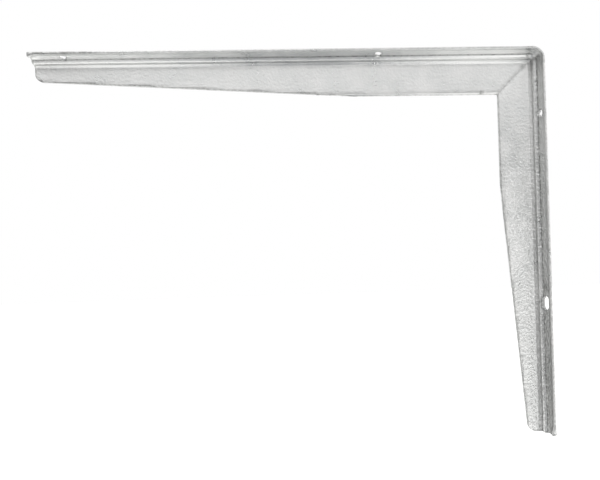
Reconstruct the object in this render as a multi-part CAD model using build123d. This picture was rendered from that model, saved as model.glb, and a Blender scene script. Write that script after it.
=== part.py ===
from build123d import *
import math
import os

# Shelf bracket, roll-formed and bent from one strip of galvanised steel sheet.
# The strip is folded flat on itself: the fold is the inner edge of a double web, and above the web
# each layer steps outwards over a narrow ledge and ends in a leaf that bears on the wall or shelf.
# The web is notched at the corner, so the strip bends there and the notch closes to a mitre.
#
# Frame, in millimetres: the wall face is the plane X = 0 with the wall towards +X, and Y = 0 is the
# fold's middle plane. The origin lies on the wall face, midway between the upper pair of screw
# holes. The wall arm runs down along -Z, and the shelf arm runs out along -X, rising with arm_angle.

# ---- driving dimensions ----
shelf_arm_length = 330.0  # outer corner to the shelf arm's tip, along the arm
wall_arm_length = 250.0  # outer corner to the wall arm's tip
arm_angle = 91.1  # between the two bearing faces, degrees
head_width = 35.0  # over both leaves
arm_depth = 28.0  # bearing face to the folded edge, where the web is full depth
sheet = 1.5
layer_gap = 0.15  # hairline between the two layers of the web

# The stepped head, from the web out to the leaf's edge, on the side that faces the other arm.
web_start = 7.5  # bearing face to the top of the flat web
throat_reach = 1.7  # sloping out of the web
throat_rise = 1.8
ledge_reach = 3.7  # level, parallel to the bearing face
riser_reach = 1.7  # steep step up to the leaf
riser_rise = 2.4
land_width = 3.9  # bearing land, in from the leaf's edge
bend_radius = 0.8  # inside each bend
land_radius = 4.0  # inside the slack bend where the dished leaf reaches its land
edge_radius = 0.4  # zinc-rounded corners of the leaf's sheared edge

# The web, cut down towards each tip.
shelf_taper_start = 120.0  # outer corner to where the cut begins
shelf_tip_depth = 16.0
wall_taper_start = 85.0
wall_tip_depth = 14.5
tip_corner_radius = 5.5
seam_gap = 0.2  # between the two edges of the closed notch

# Screw holes, one in each leaf at every station, measured from the outer corner.
hole_margin = 7.0  # leaf's edge to the hole's centre
hole_diameter = 5.2
wall_hole_station = 42.0
wall_slot_station = 165.0
slot_width = 6.2
slot_length = 9.4
shelf_hole_stations = (106.0, 309.0)

# ---- derived values ----
half_angle = math.radians(arm_angle / 2)
bend_turn = 180.0 - arm_angle
hole_pitch = head_width - 2 * hole_margin
fold_radius = layer_gap / 2
web_half = sheet + fold_radius
fold_level = web_half - arm_depth
corner_station = web_start / math.tan(half_angle)
mitre_station = arm_depth / math.tan(half_angle)
seam_setback = seam_gap / 2 / math.sin(half_angle)
rise_angle = math.radians(arm_angle - 90.0)
outer_corner = (0, 0, wall_hole_station)

# Each arm's plane starts at the outer corner: x across the strip, y outwards, z along the arm.
wall_arm_plane = Plane(origin=outer_corner, x_dir=(0, 1, 0), z_dir=(0, 0, -1))
shelf_arm_plane = Plane(
    origin=outer_corner, x_dir=(0, -1, 0), z_dir=(-math.cos(rise_angle), 0, math.sin(rise_angle))
)
bend_axis = Axis((-web_start, 0, wall_hole_station - corner_station), (0, -1, 0))


def head_corners():
    """Corners of one half's inward face, from the fold's tangent point to the leaf's edge."""
    ledge_level = throat_rise - web_start
    riser_foot = web_half + throat_reach + ledge_reach
    return [
        (web_half, fold_level),
        (web_half, -web_start),
        (web_half + throat_reach, ledge_level),
        (riser_foot, ledge_level),
        (riser_foot + riser_reach, ledge_level + riser_rise),
        (head_width / 2 - land_width, -sheet),
        (head_width / 2, -sheet),
    ]


def one_sheet_behind(corners):
    """Corners of the sheet's other face, mitred one thickness to the left of a run of corners."""
    points = [Vector(*corner) for corner in corners]
    runs = [(end - start).normalized() for start, end in zip(points, points[1:])]
    normals = [Vector(-run.Y, run.X) for run in runs]
    return [
        point + (before + after) * (sheet / (1 + before.dot(after)))
        for point, before, after in zip(points, normals[:1] + normals, normals + normals[-1:])
    ]


def strip_section():
    """The folded strip's section, y = 0 on the bearing face."""
    inside = bend_radius
    outside = bend_radius + sheet
    corners = head_corners()
    inward = FilletPolyline(*corners, radius=[inside, inside, outside, inside, land_radius])
    behind = FilletPolyline(
        *one_sheet_behind(corners), radius=[outside, outside, inside, outside, land_radius + sheet]
    )
    leaf_edge = Line(inward @ 1, behind @ 1)
    half = inward.edges() + behind.edges() + leaf_edge.edges()
    folds = [
        ThreePointArc((radius, fold_level), (0, fold_level - radius), (-radius, fold_level))
        for radius in (web_half, fold_radius)
    ]
    section = make_face(half + mirror(half, about=Plane.YZ).edges() + [fold.edge() for fold in folds])
    across = section.vertices().sort_by(Axis.X)
    return fillet(across[:2] + across[-2:], edge_radius)


def arm_side(length, taper_start, tip_depth):
    """An arm seen from the side: x along the arm, y outwards, with mitre, taper and tip."""
    outline = Polyline(
        (corner_station, 0),
        (length, 0),
        (length, -tip_depth),
        (taper_start, -arm_depth),
        (mitre_station + seam_setback, -arm_depth),
        (corner_station + seam_setback, -web_start),
        (corner_station, -web_start),
        close=True,
    )
    side = make_face(outline)
    tip_corner = side.vertices().sort_by_distance((length, -tip_depth))[0]
    return fillet(tip_corner, tip_corner_radius)


def holes_at(station, width, length):
    """Cutters for the pair of holes at one station, in the arm's own plane."""
    shape = SlotOverall(length, width, rotation=90) if length > width else Circle(width / 2)
    cutter = extrude(Plane.XZ * shape, amount=web_start, both=True)
    return [Pos(side * hole_pitch / 2, 0, station) * cutter for side in (-1, 1)]


def arm(section, length, taper_start, tip_depth, hole_cutters):
    """One straight arm, in its own plane."""
    blank = Pos(0, 0, corner_station) * extrude(section, amount=length - corner_station)
    side = extrude(Plane.ZY * arm_side(length, taper_start, tip_depth), amount=head_width, both=True)
    solid = blank & side
    for cutter in hole_cutters:
        solid -= cutter
    return solid


def bent_corner(section):
    """The head's bend, turned about the corner where the two flat webs begin."""
    head = section & Pos(0, -web_start / 2) * Rectangle(2 * head_width, web_start)
    start = Pos(0, 0, corner_station) * head
    return revolve(wall_arm_plane * start, axis=bend_axis, revolution_arc=bend_turn)


strip = strip_section()
wall_arm = arm(
    strip,
    wall_arm_length,
    wall_taper_start,
    wall_tip_depth,
    holes_at(wall_hole_station, hole_diameter, hole_diameter)
    + holes_at(wall_slot_station, slot_width, slot_length),
)
shelf_arm = arm(
    strip,
    shelf_arm_length,
    shelf_taper_start,
    shelf_tip_depth,
    [
        cutter
        for station in shelf_hole_stations
        for cutter in holes_at(station, hole_diameter, hole_diameter)
    ],
)
bracket = wall_arm_plane * wall_arm + shelf_arm_plane * shelf_arm + bent_corner(strip)

os.makedirs("parts", exist_ok=True)
export_step(bracket, "parts/bracket.step")
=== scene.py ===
import math

import bmesh
import bpy
from mathutils import Matrix, Vector, noise


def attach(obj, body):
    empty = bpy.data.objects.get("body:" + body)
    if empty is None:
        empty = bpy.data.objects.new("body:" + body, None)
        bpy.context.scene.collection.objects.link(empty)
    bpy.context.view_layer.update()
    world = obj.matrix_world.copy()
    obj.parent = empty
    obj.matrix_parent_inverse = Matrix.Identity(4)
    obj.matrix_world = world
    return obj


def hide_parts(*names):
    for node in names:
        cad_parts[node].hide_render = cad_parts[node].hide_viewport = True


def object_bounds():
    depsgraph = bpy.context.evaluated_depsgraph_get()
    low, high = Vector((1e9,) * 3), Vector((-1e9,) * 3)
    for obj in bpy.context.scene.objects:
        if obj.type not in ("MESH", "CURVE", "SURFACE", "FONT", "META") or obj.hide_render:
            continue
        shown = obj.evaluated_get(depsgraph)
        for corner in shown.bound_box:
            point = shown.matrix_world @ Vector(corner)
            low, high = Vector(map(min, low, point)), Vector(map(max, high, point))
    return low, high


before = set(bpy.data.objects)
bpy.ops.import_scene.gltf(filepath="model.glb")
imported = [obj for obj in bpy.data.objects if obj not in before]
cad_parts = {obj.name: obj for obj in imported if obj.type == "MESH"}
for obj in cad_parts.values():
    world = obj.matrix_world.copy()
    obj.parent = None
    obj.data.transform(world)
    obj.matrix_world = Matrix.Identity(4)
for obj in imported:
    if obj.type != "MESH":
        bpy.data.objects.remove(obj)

cad_low, cad_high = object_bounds()

# ---- The strip's section ----
# The bracket is one strip of 1.5 mm steel, roll-formed. The fold is the inner edge of a doubled web.
# Above the web each layer leans out through a throat, runs level as a ledge, steps up a riser, and
# ends in a dished leaf whose outer land bears on the wall or the shelf.
mm = 0.001
sheet = 1.5 * mm
web_half = 1.575 * mm
arm_depth = 28.0 * mm
web_start = 7.5 * mm
ledge_level = -5.7 * mm
riser_top_level = -3.3 * mm
throat_end = web_half + 1.7 * mm
riser_foot = throat_end + 3.7 * mm
riser_top = riser_foot + 1.7 * mm
leaf_edge = cad_high.y
land_start = leaf_edge - 3.9 * mm
bend_radius = 0.8 * mm
land_radius = 4.0 * mm
throat_radius = 1.2 * mm
fold_radius = 0.97 * web_half
head_spacing = 0.9 * mm
web_spacing = 2.2 * mm

# Across the strip and outwards, from the leaf's edge down to the middle of the fold, each with the
# radius of the bend there and the number of facets in that bend.
section_corners = [
    ((leaf_edge, -sheet), 0, 0),
    ((land_start, -sheet), land_radius, 3),
    ((riser_top, riser_top_level), bend_radius, 2),
    ((riser_foot, ledge_level), bend_radius + sheet, 3),
    ((throat_end, ledge_level), throat_radius, 3),
    ((web_half, -web_start), bend_radius, 3),
    ((web_half, -arm_depth), fold_radius, 5),
    ((0, -arm_depth), 0, 0),
]
throat_turn = math.atan2(throat_end - web_half, web_start + ledge_level)
web_top = web_start + bend_radius * math.tan(throat_turn / 2)


def draw_half_section(strip):
    """The inward face of one half of the strip, as a chain of edges in the arm's plane."""
    corners = [strip.verts.new((across, outward, 0)) for (across, outward), _, _ in section_corners]
    for start, end in zip(corners, corners[1:]):
        strip.edges.new((start, end))
    points = [corner.co.copy() for corner in corners]
    for i in range(1, len(points) - 1):
        _, radius, facets = section_corners[i]
        turn = (points[i] - points[i - 1]).angle(points[i + 1] - points[i])
        bmesh.ops.bevel(
            strip, geom=[corners[i]], offset=radius * math.tan(turn / 2), offset_type="OFFSET",
            segments=facets, profile=0.5, affect="VERTICES", material=-1,
        )
    for edge in list(strip.edges):
        on_web = abs(edge.verts[0].co.x - edge.verts[1].co.x) < 1e-7
        cuts = int(edge.calc_length() / (web_spacing if on_web else head_spacing))
        if cuts > 0:
            bmesh.ops.subdivide_edges(strip, edges=[edge], cuts=cuts)


# ---- The two arms ----
# The shelf arm carries the board and the wall arm is screwed up, a little over square to each other.
# Both are the same strip. Its web is sheared away towards each tip, rounded at the end, and notched
# at the bend, where the two cut edges close to a mitre.
arm_angle = math.radians(91.1)
wall_arm_length = 250.0 * mm
shelf_arm_length = 330.0 * mm
outer_corner = Vector((0, 0, cad_low.z + wall_arm_length))
rise = arm_angle - math.radians(90)
wall_taper_start = 85.0 * mm
wall_tip_depth = 14.5 * mm
shelf_taper_start = 120.0 * mm
shelf_tip_depth = 16.0 * mm
arm_step = 1.4 * mm
tip_radius = 5.5 * mm
tip_facets = 7
wall_along = Vector((0, 0, -1))
wall_outward = Vector((1, 0, 0))
shelf_along = Vector((-math.cos(rise), 0, math.sin(rise)))
shelf_outward = Vector((math.sin(rise), 0, math.cos(rise)))
bend_station = web_top / math.tan(arm_angle / 2)


def arm_matrix(outward, along):
    """Puts an arm's plane, with x towards the front, y outwards and z along, at the outer corner."""
    columns = Matrix((Vector((0, -1, 0)), outward, along)).transposed()
    return Matrix.Translation(outer_corner) @ columns.to_4x4()


def cut_away(strip, point, normal):
    """Cuts off all that lies on the normal's side of a plane, given as outwards and along."""
    bmesh.ops.bisect_plane(
        strip, geom=strip.verts[:] + strip.edges[:] + strip.faces[:], dist=1e-7,
        plane_co=(0, *point), plane_no=(0, *normal), clear_outer=True,
    )


def form_arm(length, taper_start, tip_depth):
    """One half of an arm in its own plane: the section drawn out, then tapered, rounded and mitred."""
    strip = bmesh.new()
    draw_half_section(strip)
    bmesh.ops.translate(strip, verts=strip.verts[:], vec=(0, 0, bend_station))
    steps = math.ceil((length - bend_station) / arm_step)
    drawn = bmesh.ops.extrude_edge_only(strip, edges=strip.edges[:])
    far_end = [item for item in drawn["geom"] if isinstance(item, bmesh.types.BMVert)]
    bmesh.ops.translate(strip, verts=far_end, vec=(0, 0, steps * arm_step))
    lengthwise = [edge for edge in strip.edges if abs(edge.verts[0].co.z - edge.verts[1].co.z) > mm]
    bmesh.ops.subdivide_edges(strip, edges=lengthwise, cuts=steps - 1, use_grid_fill=True)
    cut_away(strip, (0, length), (0, 1))

    slope = math.atan2(arm_depth - tip_depth, length - taper_start)
    cut_away(strip, (-tip_depth, length), (-math.cos(slope), math.sin(slope)))
    centre_level = tip_radius / math.cos(slope) - tip_radius * math.tan(slope) - tip_depth
    centre = Vector((centre_level, length - tip_radius))
    for i in range(tip_facets):
        angle = (math.radians(90) - slope) * (i + 0.5) / tip_facets
        normal = Vector((-math.sin(angle), math.cos(angle)))
        cut_away(strip, centre + normal * tip_radius, normal)

    half = arm_angle / 2
    cut_away(strip, (-web_top, bend_station), (-math.cos(half), -math.sin(half)))
    return strip


def add_arm(strip, arm, outward, along):
    """Copies an arm into the bracket, in its place."""
    arm.transform(arm_matrix(outward, along))
    arm_mesh = bpy.data.meshes.new("arm")
    arm.to_mesh(arm_mesh)
    strip.from_mesh(arm_mesh)
    bpy.data.meshes.remove(arm_mesh)
    arm.free()


strip = bmesh.new()
wall_arm = form_arm(wall_arm_length, wall_taper_start, wall_tip_depth)
add_arm(strip, wall_arm, wall_outward, wall_along)
shelf_arm = form_arm(shelf_arm_length, shelf_taper_start, shelf_tip_depth)
add_arm(strip, shelf_arm, shelf_outward, shelf_along)

# ---- The bent corner ----
# Only the head goes round the corner, in a press. The leaf stretches into a smooth radius, and the
# second half of the strip is the mirror of the first.
bend_centre = outer_corner - wall_outward * web_top + wall_along * bend_station
bend_steps = 18
weld_reach = 0.02 * mm
head_start = [
    edge for edge in strip.edges
    if all(abs(v.co.z - bend_centre.z) < 1e-6 and v.co.x > bend_centre.x - 1e-6 for v in edge.verts)
]
bmesh.ops.spin(
    strip, geom=[*{vert for edge in head_start for vert in edge.verts}, *head_start],
    cent=bend_centre, axis=(0, -1, 0), angle=math.radians(180) - arm_angle, steps=bend_steps,
)
bmesh.ops.remove_doubles(strip, verts=strip.verts[:], dist=weld_reach)
bmesh.ops.mirror(
    strip, geom=strip.verts[:] + strip.edges[:] + strip.faces[:], axis="Y", merge_dist=weld_reach,
)
bmesh.ops.recalc_face_normals(strip, faces=strip.faces[:])
web_point = Vector((-20 * mm, -web_half, 0))
web_face = min(strip.faces, key=lambda face: (face.calc_center_median() - web_point).length)
if web_face.normal.y > 0:
    bmesh.ops.reverse_faces(strip, faces=strip.faces[:])

# ---- Thickness, screw holes and edges ----
# The steel lies behind the faces drawn so far. Round holes and slots are punched through the leaves
# in pairs. The zinc narrows each hole a little and rounds every cut edge.
hole_pitch = 21.0 * mm
zinc_narrowing = 0.3 * mm
hole_radius = 2.6 * mm - zinc_narrowing
wall_hole_station = 42.0 * mm
wall_slot_station = 165.0 * mm
slot_radius = 3.1 * mm - zinc_narrowing
slot_length = 9.4 * mm - 2 * zinc_narrowing
shelf_hole_stations = (106.0 * mm, 309.0 * mm)
punch_depth = 16 * mm
zinc_edge = 0.35 * mm


def add_punch(punches, outward, along, station, radius, length):
    """A pair of round or slotted punches that go right through both leaves."""
    for side in (-1, 1):
        punch = bmesh.new()
        bmesh.ops.create_cone(
            punch, cap_ends=True, segments=32, radius1=radius, radius2=radius, depth=punch_depth,
        )
        ahead = [vert for vert in punch.verts if vert.co.y > 1e-6]
        bmesh.ops.translate(punch, verts=ahead, vec=(0, length / 2 - radius, 0))
        behind = [vert for vert in punch.verts if vert.co.y < -1e-6]
        bmesh.ops.translate(punch, verts=behind, vec=(0, radius - length / 2, 0))
        in_arm = Matrix.Translation((side * hole_pitch / 2, 0, station))
        upright = Matrix.Rotation(math.radians(90), 4, "X")
        punch.transform(arm_matrix(outward, along) @ (in_arm @ upright))
        punch.normal_update()
        bmesh.ops.recalc_face_normals(punch, faces=punch.faces[:])
        punch_mesh = bpy.data.meshes.new("punch")
        punch.to_mesh(punch_mesh)
        punches.from_mesh(punch_mesh)
        bpy.data.meshes.remove(punch_mesh)
        punch.free()


punches = bmesh.new()
add_punch(punches, wall_outward, wall_along, wall_hole_station, hole_radius, 2 * hole_radius)
add_punch(punches, wall_outward, wall_along, wall_slot_station, slot_radius, slot_length)
for station in shelf_hole_stations:
    add_punch(punches, shelf_outward, shelf_along, station, hole_radius, 2 * hole_radius)
punch_mesh = bpy.data.meshes.new("punches")
punches.to_mesh(punch_mesh)
punches.free()
punch_set = bpy.data.objects.new("punches", punch_mesh)
bpy.context.scene.collection.objects.link(punch_set)

strip_mesh = bpy.data.meshes.new("strip")
strip.to_mesh(strip_mesh)
strip.free()
blank = bpy.data.objects.new("blank", strip_mesh)
bpy.context.scene.collection.objects.link(blank)
steel = blank.modifiers.new("steel", "SOLIDIFY")
steel.thickness = sheet
steel.offset = -1
steel.use_quality_normals = True
punching = blank.modifiers.new("punching", "BOOLEAN")
punching.object = punch_set
punching.solver = "EXACT"
rounding = blank.modifiers.new("rounding", "BEVEL")
rounding.width = zinc_edge
rounding.segments = 2
rounding.limit_method = "ANGLE"
rounding.angle_limit = math.radians(60)
rounding.use_clamp_overlap = False
bpy.context.view_layer.update()
formed = blank.evaluated_get(bpy.context.evaluated_depsgraph_get())
bracket_mesh = bpy.data.meshes.new_from_object(formed)
bracket_mesh.name = "folded_strip"
bpy.data.objects.remove(blank)
bpy.data.objects.remove(punch_set)
bracket = bpy.data.objects.new("folded_strip", bracket_mesh)
bpy.context.scene.collection.objects.link(bracket)

# ---- Crumpled corner, uneven zinc and painted shade ----
# There is no room for the steps inside the bend, so they crumple. The dip leaves the sheet a little
# wavy. Where molten zinc drains, at the seam, the tips and round the holes, it sets lumpy and dark.
# The leaf's groove gets painted shade, and the wall arm's leaf gets painted shade that darkens
# towards its tip. The finish reads each place from an attribute.
crumple_reach = 7.0 * mm
crumple_depth = 0.45 * mm
crumple_size = 2.4 * mm
wave_depth = 0.10 * mm
wave_size = 18 * mm
lump_depth = 0.16 * mm
bump_size = 2.2 * mm
groove_shade_reach = 1.0 * mm
steps_middle = 5 * mm
steps_level = -5.2 * mm
seam_dip = 0.2 * mm
seam_reach = 0.8 * mm
smudge_reach = 1.4 * mm
tip_reach = 1.8 * mm
tip_drip = 1.6 * mm
drip_length = 6 * mm
groove_end_reach = 2.6 * mm
tear_station = 38.0 * mm
tear_reach = 2.2 * mm
rim_reach = 1.6 * mm
hole_surround = 12 * mm
shade_start = 70 * mm
shade_length = 150 * mm
smear_station = wall_slot_station - 10 * mm
smear_reach = 9 * mm
burnt_start = 255 * mm
burnt_length = 50 * mm
least_pebble = 0.22
smooth_start = 20 * mm
smooth_length = 130 * mm
hole_rows = [
    (wall_outward, wall_hole_station, hole_radius, 0),
    (wall_outward, wall_slot_station, slot_radius, slot_length / 2 - slot_radius),
    (shelf_outward, shelf_hole_stations[0], hole_radius, 0),
    (shelf_outward, shelf_hole_stations[1], hole_radius, 0),
]


def fade(distance, reach):
    """1 at no distance, easing to 0 at the reach."""
    share = max(0, 1 - abs(distance) / reach)
    return share * share * (3 - 2 * share)


def ramp(distance, start, length):
    """0 up to the start, then rising evenly to 1 over the length."""
    return min(1, max(0, (distance - start) / length))


marks = {"drained_and_shaded": [], "lumpy": [], "pebbly": [], "painted_leaf_shade": []}
for vert in bracket_mesh.vertices:
    place = vert.co - outer_corner
    on_wall_arm = place.dot(wall_outward) > place.dot(shelf_outward)
    if on_wall_arm:
        along, outward, length = wall_along, wall_outward, wall_arm_length
        taper_start, tip_depth = wall_taper_start, wall_tip_depth
    else:
        along, outward, length = shelf_along, shelf_outward, shelf_arm_length
        taper_start, tip_depth = shelf_taper_start, shelf_tip_depth
    station = place.dot(along)
    level = place.dot(outward)
    across = abs(place.y)
    from_tip = length - station
    from_leaf_edge = leaf_edge - across
    taper_share = max(0, station - taper_start) / (length - taper_start)
    depth_here = arm_depth - (arm_depth - tip_depth) * taper_share

    # How near the point is to each place where zinc gathers, and to the leaf's groove, where shade is
    # painted, from 0 to 1.
    # Painted shade: a dark line along the concave groove between leaf and riser.
    groove_shade = fade(math.hypot(across - riser_top, level - riser_top_level), groove_shade_reach)
    steps = fade(across - steps_middle, 5 * mm) * fade(level - steps_level, 4 * mm)
    seam = 0.0
    if level < -web_top:
        off_mitre = (station - bend_station) * math.sin(arm_angle / 2)
        off_mitre += (level + web_top) * math.cos(arm_angle / 2)
        smudge = max(fade(level + web_top + 2 * mm, 5 * mm), fade(level + arm_depth, 4 * mm))
        seam = fade(off_mitre, seam_reach + smudge_reach * smudge)
    tip = fade(from_tip, tip_reach)
    bend_distance = Vector((vert.co.x - bend_centre.x, vert.co.z - bend_centre.z)).length
    crumple = fade(bend_distance, crumple_reach) * fade(across - steps_middle, 6 * mm)
    bend_rim = 0.0
    if station <= bend_station + 3 * mm:
        bend_rim = 0.5 * fade(bend_distance - web_top, 3 * mm) * fade(from_leaf_edge, 2.5 * mm)
    rim = 0.0
    for hole_outward, hole_station, radius, straight in hole_rows:
        from_hole = abs(station - hole_station)
        if hole_outward == outward and from_hole < hole_surround and across > 6 * mm:
            past = max(0, from_hole - straight)
            rim = fade(math.hypot(past, across - hole_pitch / 2) - radius, rim_reach)
    on_leaf = ramp(across, riser_top - mm / 2, mm) * fade(max(0, across - land_start), 3 * mm)
    fold_edge = 0.6 * fade(level + depth_here, 0.9 * mm)
    cut_edge = 0.25 * fade(from_leaf_edge, 0.8 * mm)

    # What only one of the arms has: painted shade down the leaf and a smear, or a dark spot where the
    # groove meets the bend, a tear, a burnt edge and painted shade in the groove.
    if on_wall_arm:
        rim_share, steps_share = 0.6, 1.0
        blemish = 0.8 * on_leaf * fade(station - smear_station, smear_reach)
        # Painted shade: the leaf darkens towards the tip, a painted darker reflection.
        painted_shade_share = 0.7 * on_leaf * ramp(station, shade_start, shade_length)
        roughened = 1 - fade(max(0, station - smooth_start), smooth_length)
    else:
        rim_share, steps_share = 0.2, 0.5
        # A dark spot where the leaf's groove meets the bend.
        groove_end_spot = fade(math.hypot(across - riser_top, station - bend_station - mm), groove_end_reach)
        tear = fade(math.hypot(station - tear_station, level + arm_depth - mm), tear_reach)
        burnt_edge = 0.8 * fade(from_leaf_edge, 1.2 * mm) * ramp(station, burnt_start, burnt_length)
        blemish = max(groove_end_spot, tear, burnt_edge)
        # Painted shade in the leaf's groove.
        painted_shade_share = 0.75 * groove_shade
        roughened = 0.0
    lumpiness = min(1, max(steps_share * steps, 0.4 * tip, crumple, rim_share / 3 * rim))
    marks["drained_and_shaded"].append(min(1, max(
        groove_shade, 0.45 * seam, 0.7 * tip, 0.35 * crumple, bend_rim, rim_share * rim,
        fold_edge, cut_edge, blemish,
    )))
    marks["lumpy"].append(lumpiness)
    marks["pebbly"].append(least_pebble + (1 - least_pebble) * roughened)
    marks["painted_leaf_shade"].append(painted_shade_share)

    # The shape follows: waves, lumps, creases, the drip at the tip and the dip along the seam.
    wave = noise.noise(vert.co / wave_size) * wave_depth
    lump = noise.noise(vert.co / bump_size + Vector((7, 3, 5))) * lump_depth * lumpiness
    crease = noise.noise_vector(vert.co / crumple_size + Vector((2, 9, 4))) * crumple_depth * crumple
    drip = tip_drip * fade(from_tip, drip_length) * fade(from_leaf_edge - 2 * mm, 5 * mm)
    inside_web = across < web_half - 0.5 * mm and level > 2 * mm - arm_depth
    shift = Vector((0, wave * fade(level + arm_depth / 2, arm_depth), 0)) + crease
    shift += outward * (min(0, lump) - drip * ramp(-level, 0, sheet))
    shift += Vector((0, -math.copysign(seam_dip, place.y), 0)) * seam
    if not inside_web:
        vert.co += shift
    for axis in range(3):
        vert.co[axis] = min(max(vert.co[axis], cad_low[axis]), cad_high[axis])
for name, values in marks.items():
    mark = bracket_mesh.attributes.new(name, "FLOAT", "POINT")
    mark.data.foreach_set("value", values)
bracket_mesh.shade_smooth()
bracket_mesh.set_sharp_from_angle(angle=math.radians(50))
bracket_mesh.update()

# ---- Hot-dip zinc ----
# The bracket is hot-dip galvanised after forming: a bright pale grey metal skin, neither polished
# nor matt, with a soft mottle, a fine pebble where it set, and darker dross where it drains. The
# same dark grey paints shade in the leaf's groove and down the wall arm's leaf.


def srgb(hex_colour):
    """A colour written as sRGB hex, turned linear."""
    channels = [int(hex_colour[i:i + 2], 16) / 255 for i in (0, 2, 4)]
    return (*[c / 12.92 if c <= 0.04045 else ((c + 0.055) / 1.055) ** 2.4 for c in channels], 1)


def add_node(owner, kind, settings={}, links={}):
    """Adds a node with its settings, its input values and the sockets linked into it."""
    node = owner.node_tree.nodes.new(kind)
    for name, value in settings.items():
        if isinstance(name, str) and hasattr(node, name):
            setattr(node, name, value)
        else:
            node.inputs[name].default_value = value
    for name, socket in links.items():
        owner.node_tree.links.new(socket, node.inputs[name])
    return node


zinc = bpy.data.materials.new("hot_dip_zinc")
zinc.use_nodes = True
shader = zinc.node_tree.nodes["Principled BSDF"]
place = add_node(zinc, "ShaderNodeTexCoord").outputs["Object"]


def read_mark(name):
    """What the mesh's own attribute says at each place."""
    return add_node(zinc, "ShaderNodeAttribute", {"attribute_name": name}).outputs["Fac"]


def add_noise(size, detail, roughness, vector):
    """Noise with patches of about the size given."""
    settings = {"Scale": 1 / size, "Detail": detail, "Roughness": roughness}
    return add_node(zinc, "ShaderNodeTexNoise", settings, {"Vector": vector}).outputs["Fac"]


pebble_size = 1.7 * mm
mottle_size = 14 * mm
fleck_size = 1.5 * mm
lump_size = 2.1 * mm
fleck_stretch = add_node(zinc, "ShaderNodeMapping", {"Scale": (1, 0.2, 1)}, {"Vector": place})
mottle = add_noise(mottle_size, 4.0, 0.6, place)
pebble = add_noise(pebble_size, 2.0, 0.5, place)
lumps = add_noise(lump_size, 3.0, 0.55, place)
flecks = add_noise(fleck_size, 2.0, 0.5, fleck_stretch.outputs["Vector"])

bright_zinc = srgb("ebebea")
dull_zinc = srgb("dfe0df")
# Dark grey for dross, and for the painted shade in the leaf's groove and down the wall arm's leaf.
dross_and_shade = srgb("6a6b69")
mottled = add_node(
    zinc, "ShaderNodeMapRange", {"From Min": 0.35, "From Max": 0.65}, {"Value": mottle},
)
skin = add_node(
    zinc, "ShaderNodeMix", {"data_type": "RGBA", 6: dull_zinc, 7: bright_zinc},
    {0: mottled.outputs["Result"]},
)
broken = add_node(
    zinc, "ShaderNodeMapRange", {"From Min": 0.38, "From Max": 0.62, "To Min": 0.5, "To Max": 1.0},
    {"Value": lumps},
)
in_patches = add_node(
    zinc, "ShaderNodeMath", {"operation": "MULTIPLY"},
    {0: read_mark("drained_and_shaded"), 1: broken.outputs["Result"]},
)
# The dark grey goes where zinc drains and where shade is painted.
dross_and_shade_share = add_node(
    zinc, "ShaderNodeMath", {"operation": "MAXIMUM", "use_clamp": True},
    {0: in_patches.outputs["Value"], 1: read_mark("painted_leaf_shade")},
)
coloured = add_node(
    zinc, "ShaderNodeMix", {"data_type": "RGBA", 7: dross_and_shade},
    {0: dross_and_shade_share.outputs["Value"], 6: skin.outputs[2]},
)
zinc.node_tree.links.new(coloured.outputs[2], shader.inputs["Base Color"])

sheen = add_node(
    zinc, "ShaderNodeMapRange",
    {"From Min": 0.3, "From Max": 0.7, "To Min": 0.26, "To Max": 0.36},
    {"Value": mottle},
)
zinc.node_tree.links.new(sheen.outputs["Result"], shader.inputs["Roughness"])
shader.inputs["Metallic"].default_value = 1.0


def add_bump(strength, depth, height, normal=None):
    """Raises the surface by a height, on top of the normal from the bump before."""
    links = {"Height": height}
    if normal is not None:
        links["Normal"] = normal
    settings = {"Strength": strength, "Distance": depth}
    return add_node(zinc, "ShaderNodeBump", settings, links).outputs["Normal"]


pebble_depth = 0.62 * mm
fleck_depth = 0.10 * mm
swell_depth = 0.65 * mm
pebble_height = add_node(
    zinc, "ShaderNodeMath", {"operation": "MULTIPLY"}, {0: pebble, 1: read_mark("pebbly")},
)
lump_height = add_node(
    zinc, "ShaderNodeMath", {"operation": "MULTIPLY"}, {0: lumps, 1: read_mark("lumpy")},
)
pebbled = add_bump(1.0, pebble_depth, pebble_height.outputs["Value"])
flecked = add_bump(0.5, fleck_depth, flecks, pebbled)
lumped = add_bump(1.0, swell_depth, lump_height.outputs["Value"], flecked)
zinc.node_tree.links.new(lumped, shader.inputs["Normal"])
bracket_mesh.materials.clear()
bracket_mesh.materials.append(zinc)

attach(bracket, "root")
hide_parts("bracket")

# ---- Floor, lights and camera ----
# A plain white studio: the bracket hangs clear of a pale floor, between two large soft lamps. Grey
# cards stand round it, mirrored by the bright metal and out of the camera's sight.
floor_level = cad_low.z - 0.25
paper_glow = 0.64
sky_light = 0.75
floor_form = bmesh.new()
bmesh.ops.create_grid(floor_form, x_segments=1, y_segments=1, size=6.0)
bmesh.ops.translate(floor_form, verts=floor_form.verts[:], vec=(0, 0, floor_level))
floor_mesh = bpy.data.meshes.new("floor")
floor_form.to_mesh(floor_mesh)
floor_form.free()
floor = bpy.data.objects.new("floor", floor_mesh)
bpy.context.scene.collection.objects.link(floor)


def add_seen_rays(owner):
    """1 for a ray of the camera, of a mirror or through something clear, and 0 for plain light."""
    rays = add_node(owner, "ShaderNodeLightPath")
    seen = add_node(
        owner, "ShaderNodeMath", {"operation": "MAXIMUM"},
        {0: rays.outputs["Is Camera Ray"], 1: rays.outputs["Is Glossy Ray"]},
    )
    seen_or_through = add_node(
        owner, "ShaderNodeMath", {"operation": "MAXIMUM"},
        {0: seen.outputs["Value"], 1: rays.outputs["Is Transmission Ray"]},
    )
    return seen_or_through.outputs["Value"]


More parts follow.
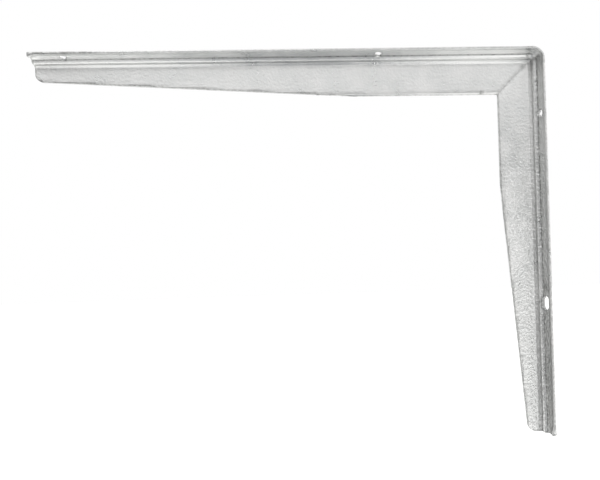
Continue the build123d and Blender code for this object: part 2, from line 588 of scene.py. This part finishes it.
paper = bpy.data.materials.new("white_paper")
paper.use_nodes = True
paper_shader = paper.node_tree.nodes["Principled BSDF"]
paper_shader.inputs["Base Color"].default_value = srgb("f4f4f2")
paper_shader.inputs["Roughness"].default_value = 0.9
paper_shader.inputs["Emission Color"].default_value = (1, 1, 1, 1)
lift = add_node(
    paper, "ShaderNodeMath", {"operation": "MULTIPLY", 1: paper_glow}, {0: add_seen_rays(paper)},
)
paper.node_tree.links.new(lift.outputs["Value"], paper_shader.inputs["Emission Strength"])
floor_mesh.materials.append(paper)

world = bpy.data.worlds.new("studio")
bpy.context.scene.world = world
world.use_nodes = True
background = world.node_tree.nodes["Background"]
background.inputs["Color"].default_value = (1, 1, 1, 1)
sky_level = add_node(
    world, "ShaderNodeMapRange", {"To Min": sky_light, "To Max": 1.0},
    {"Value": add_seen_rays(world)},
)
world.node_tree.links.new(sky_level.outputs["Result"], background.inputs["Strength"])


def aim(thing, position, target):
    """Stands a lamp or a camera at a position, looking at a target."""
    thing.location = position
    thing.rotation_euler = (Vector(target) - Vector(position)).to_track_quat("-Z", "Y").to_euler()
    bpy.context.scene.collection.objects.link(thing)


def stand_card(name, grey, width, height, position, target):
    """Stands a grey card where the metal mirrors it and the camera doesn't see it."""
    card_form = bmesh.new()
    bmesh.ops.create_grid(card_form, x_segments=1, y_segments=1, size=0.5)
    bmesh.ops.scale(card_form, verts=card_form.verts[:], vec=(width, height, 1))
    facing = (Vector(target) - Vector(position)).to_track_quat("Z", "Y").to_matrix().to_4x4()
    card_form.transform(Matrix.Translation(position) @ facing)
    card_mesh = bpy.data.meshes.new(name)
    card_form.to_mesh(card_mesh)
    card_form.free()
    board = bpy.data.materials.new(name + "_board")
    board.use_nodes = True
    board.node_tree.nodes["Principled BSDF"].inputs["Base Color"].default_value = srgb(grey)
    card_mesh.materials.append(board)
    card = bpy.data.objects.new(name, card_mesh)
    bpy.context.scene.collection.objects.link(card)
    card.visible_camera = False
    card.visible_diffuse = False


middle = (cad_low + cad_high) / 2
for name, grey, width, height, position, target in (
    ("side_card", "a8a8a8", 0.72, 0.24, (-0.93, -0.78, 0.18), (0, 0, 0.18)),
    ("side_card_foot", "6a6a6a", 0.72, 0.50, (-0.93, -0.78, -0.19), (0, 0, -0.19)),
    ("side_card_back", "b8b8b8", 0.62, 0.54, (-1.24, -0.18, -0.18), (0, 0, -0.18)),
    ("front_card", "707070", 2.2, 0.34, (-0.1, -1.4, -0.08), (0, 0, -0.10)),
    ("low_card", "94969a", 0.22, 0.75, (-0.165, -0.385, floor_level + 0.025), (-0.165, -0.385, 1)),
    ("wide_low_card", "c4c6c8", 0.40, 0.55, (-0.20, -0.48, floor_level + 0.015), (-0.20, -0.48, 1)),
    ("low_side_card", "808080", 0.6, 1.0, (-0.8, -0.5, floor_level + 0.02), (-0.8, -0.5, 1)),
):
    stand_card(name, grey, width, height, position, target)
for name, position, size, power in (
    ("key_lamp", (-0.7, -0.9, 1.0), 0.9, 3.4),
    ("fill_lamp", (0.8, -0.7, 0.4), 0.7, 1.4),
):
    lamp = bpy.data.lights.new(name, "AREA")
    lamp.size = size
    lamp.energy = power
    aim(bpy.data.objects.new(name, lamp), position, middle)

camera_data = bpy.data.cameras.new("camera")
camera = bpy.data.objects.new("camera", camera_data)
bpy.context.scene.collection.objects.link(camera)
camera_data.sensor_width = 36
camera_data.lens = 51.108
camera_data.shift_x = -0.0590
camera_data.shift_y = 0.0203
camera_data.clip_start = 0.01
right = Vector((0.99936, -0.011638, -0.033826))
ahead = Vector((0.011369, 0.999902, -0.008138))
up = Vector((0.033918, 0.007749, 0.999395))
camera_turn = Matrix((right, up, -ahead)).transposed().to_4x4()
camera_place = outer_corner + Vector((-0.14432, -0.56123, -0.12294))
camera.matrix_world = Matrix.Translation(camera_place) @ camera_turn
bpy.context.scene.camera = camera
bpy.context.scene.view_settings.view_transform = "Standard"
